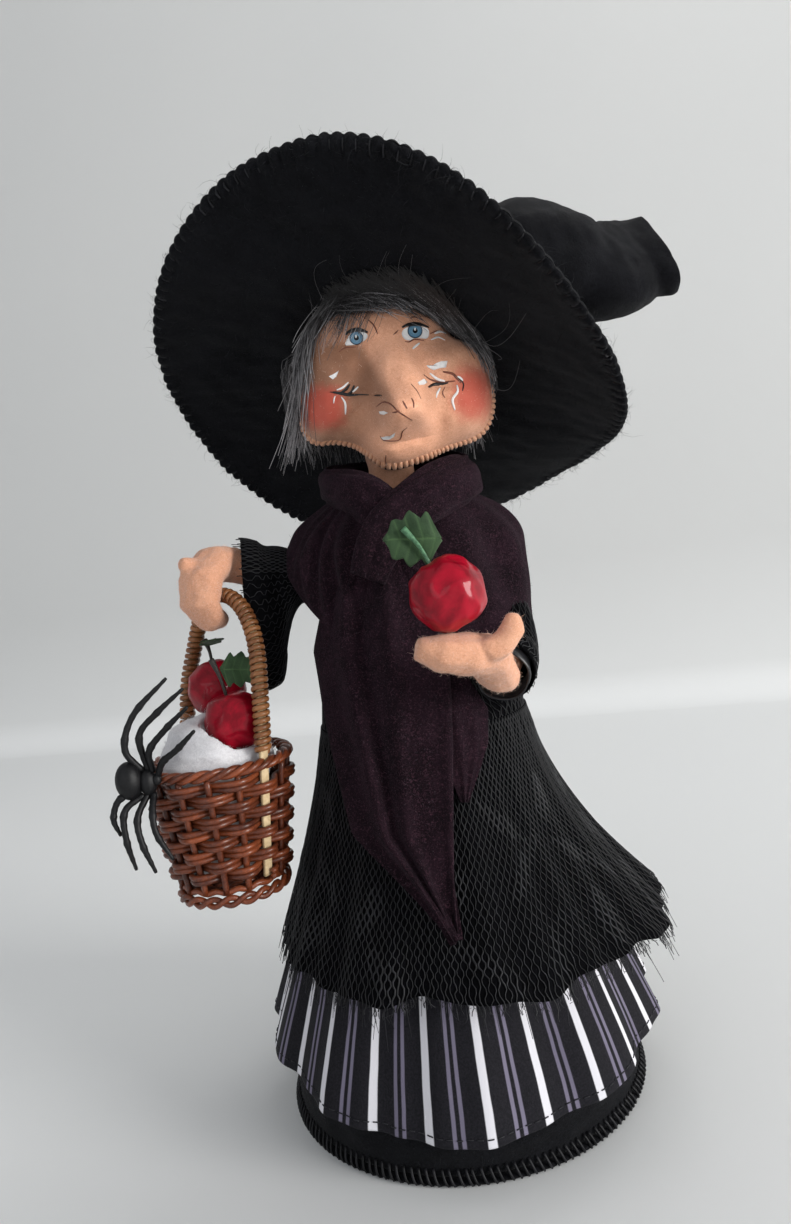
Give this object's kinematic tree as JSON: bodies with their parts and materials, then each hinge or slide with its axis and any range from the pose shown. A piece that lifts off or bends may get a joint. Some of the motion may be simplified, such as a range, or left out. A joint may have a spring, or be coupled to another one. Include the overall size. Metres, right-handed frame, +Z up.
{
  "type": "witch doll",
  "caption": "Stuffed felt witch doll in a wide wired hat, lace and striped skirts and a shawl, holding a red apple and a wicker basket of apples with a plastic spider.",
  "frame": {"origin": "centre of the round base on its underside", "axes": "+Z up through the neck, -Y the way the face looks, +X to the side of the hand with the apple"},
  "size_m": [0.1751, 0.1203, 0.2538],
  "materials": {
    "black_felt": "matte felt",
    "cardboard": "plain",
    "fibre": "loose fibre",
    "striped_cotton": "printed cotton",
    "black_lace": "knitted lace",
    "plum_flannel": "brushed flannel",
    "flesh_felt": "matte felt",
    "grey_fur": "straight pile",
    "satin": "satin",
    "steel_wire": "drawn wire",
    "wicker": "varnished",
    "pale_wood": "split",
    "red_lacquer": "gloss",
    "stem": "matte",
    "leaf": "woven",
    "black_plastic": "matte"
  },
  "bodies": {
    "torso": {"base_felt": "black_felt", "base_board": "cardboard", "body_felt": "black_felt", "body_stuffing": "fibre", "petticoat": "striped_cotton", "overskirt": "black_lace", "bodice": "black_lace", "shawl": "plum_flannel"},
    "neck": {"neck": "flesh_felt", "neck_wire": "steel_wire"},
    "head": {"face_felt": "flesh_felt", "head_back_felt": "flesh_felt", "head_stuffing": "fibre", "hair": "grey_fur", "brim_lower": "black_felt", "brim_upper": "black_felt", "brim_wire": "steel_wire", "hat_crown": "black_felt", "hat_stuffing": "fibre"},
    "left_arm": {"left_sleeve": "black_lace", "left_arm": "flesh_felt", "left_arm_wire": "steel_wire"},
    "left_hand": {"left_hand": "flesh_felt"},
    "basket": {"basket_frame": "wicker", "basket_weaver": "wicker", "basket_rim": "wicker", "basket_foot": "wicker", "handle_core": "pale_wood", "handle_wrap": "wicker", "basket_filling": "fibre", "front_apple": "red_lacquer", "front_stem": "stem", "front_leaf": "leaf", "rear_apple": "red_lacquer", "rear_stem": "stem", "rear_leaf": "leaf", "spider": "black_plastic"},
    "right_arm": {"right_sleeve": "black_lace", "right_arm": "flesh_felt", "right_arm_wire": "steel_wire", "right_cuff": "satin"},
    "right_hand": {"right_hand": "flesh_felt", "held_apple": "red_lacquer", "held_stem": "stem", "held_leaf": "leaf"}
  },
  "joints": [
    {"name": "neck_turn", "type": "hinge", "parent": "torso", "child": "neck", "pos_m": [0, 0, 0.1675], "axis": [0, 0, 1], "range_deg": [-20, 20]},
    {"name": "head_nod", "type": "hinge", "parent": "neck", "child": "head", "pos_m": [0, 0, 0.1805], "axis": [1, 0, 0], "range_deg": [-12, 6]},
    {"name": "left_shoulder", "type": "hinge", "parent": "torso", "child": "left_arm", "pos_m": [-0.024, -0.002, 0.1455], "axis": [0, 1, 0], "range_deg": [0, 35]},
    {"name": "left_wrist", "type": "hinge", "parent": "left_arm", "child": "left_hand", "pos_m": [-0.04032, -0.00487, 0.151], "axis": [0, 1, 0], "range_deg": [0, 15]},
    {"name": "basket_swing", "type": "hinge", "parent": "left_hand", "child": "basket", "pos_m": [-0.05132, -0.00987, 0.1465], "axis": [-0.766, 0.6428, 0], "range_deg": [0, 30]},
    {"name": "right_shoulder", "type": "hinge", "parent": "torso", "child": "right_arm", "pos_m": [0.024, -0.001, 0.1515], "axis": [-1, 0, 0], "range_deg": [-8, 15]},
    {"name": "right_wrist", "type": "hinge", "parent": "right_arm", "child": "right_hand", "pos_m": [0.021, -0.03, 0.119], "axis": [-1, 0, 0], "range_deg": [-15, 10]}
  ]
}
